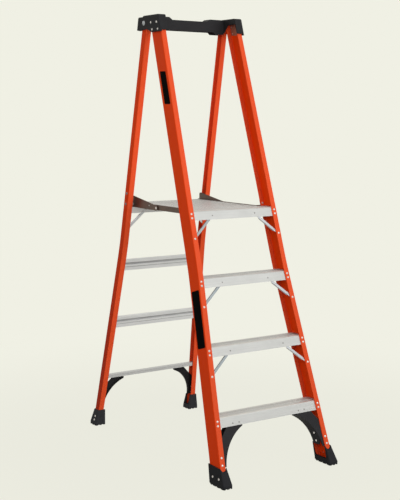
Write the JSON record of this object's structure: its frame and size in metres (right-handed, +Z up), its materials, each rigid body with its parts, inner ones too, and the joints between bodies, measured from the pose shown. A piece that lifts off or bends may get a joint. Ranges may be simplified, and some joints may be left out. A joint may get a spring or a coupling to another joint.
{
  "type": "platform ladder",
  "caption": "Folding platform ladder with bowed glass-fibre rails, ribbed treads, a standing deck that lifts as the rear frame folds in, and a moulded hand bar round the top.",
  "frame": {"origin": "on the floor, under the middle of the open ladder's box", "axes": "+X to the climber's right, +Y from the steps to the rear frame, +Z up"},
  "size_m": [0.6376, 1.2008, 2.03],
  "materials": {
    "rail_orange": "satin",
    "moulded_black": "matte",
    "boot_black": "matte",
    "aluminium": "satin",
    "bronze_steel": "satin",
    "zinc_steel": "satin",
    "rivet_steel": "satin"
  },
  "bodies": {
    "front_section": {"back_plate_left": "zinc_steel", "back_plate_right": "zinc_steel", "boot_rivets": "rivet_steel", "bracket_rivets": "rivet_steel", "deck_bracket_left": "bronze_steel", "deck_bracket_right": "bronze_steel", "deck_pivot_pins": "rivet_steel", "fascia_rivets": "rivet_steel", "front_boot_left": "boot_black", "front_boot_right": "boot_black", "front_gusset_left": "moulded_black", "front_gusset_right": "moulded_black", "front_rail_left": "rail_orange", "front_rail_right": "rail_orange", "front_rivets": "rivet_steel", "platform_brace_left": "zinc_steel", "platform_brace_right": "zinc_steel", "platform_step": "aluminium", "rear_pivot_bolts": "rivet_steel", "step_1": "aluminium", "step_2": "aluminium", "step_2_brace_left": "zinc_steel", "step_2_brace_right": "zinc_steel", "step_3": "aluminium", "step_3_brace_left": "zinc_steel", "step_3_brace_right": "zinc_steel", "yoke": "moulded_black", "yoke_rivets": "rivet_steel"},
    "rear_section": {"arm_pivot_pins": "rivet_steel", "arm_spacers": "rivet_steel", "cross_bar_1": "aluminium", "cross_bar_2": "aluminium", "cross_bar_3": "aluminium", "doubler_left": "bronze_steel", "doubler_right": "bronze_steel", "rear_boot_left": "boot_black", "rear_boot_right": "boot_black", "rear_boot_rivets": "rivet_steel", "rear_gusset_left": "moulded_black", "rear_gusset_right": "moulded_black", "rear_rail_left": "rail_orange", "rear_rail_right": "rail_orange", "rear_rivets": "rivet_steel", "rest_bar": "aluminium", "rest_bar_brace_left": "zinc_steel", "rest_bar_brace_right": "zinc_steel", "web_bolts": "rivet_steel"},
    "platform_deck": {"deck_pivot_studs": "rivet_steel", "deck_plank_1": "aluminium", "deck_plank_2": "aluminium", "deck_plank_3": "aluminium", "deck_plank_4": "aluminium", "deck_screws": "bronze_steel", "side_bar_left": "bronze_steel", "side_bar_right": "bronze_steel"},
    "spreader_arms": {"arm_left": "bronze_steel", "arm_right": "bronze_steel", "arm_rivets": "rivet_steel"}
  },
  "joints": [
    {"name": "rear_fold", "type": "hinge", "parent": "front_section", "child": "rear_section", "pos_m": [0, 0.18304, 1.996], "axis": [1, 0, 0], "range_deg": [-28.5, 0]},
    {"name": "platform_lift", "type": "hinge", "parent": "front_section", "child": "platform_deck", "pos_m": [0, -0.11834, 1.1382], "axis": [1, 0, 0], "range_deg": [0, 72.3]},
    {"name": "arm_turn", "type": "hinge", "parent": "rear_section", "child": "spreader_arms", "pos_m": [0, 0.34865, 1.144], "axis": [1, 0, 0], "range_deg": [-72.87, 0]}
  ],
  "couplings": [
    {"joint": "platform_lift", "follows": "rear_fold", "ratio": -2.5368},
    {"joint": "arm_turn", "follows": "rear_fold", "ratio": 2.5569}
  ]
}
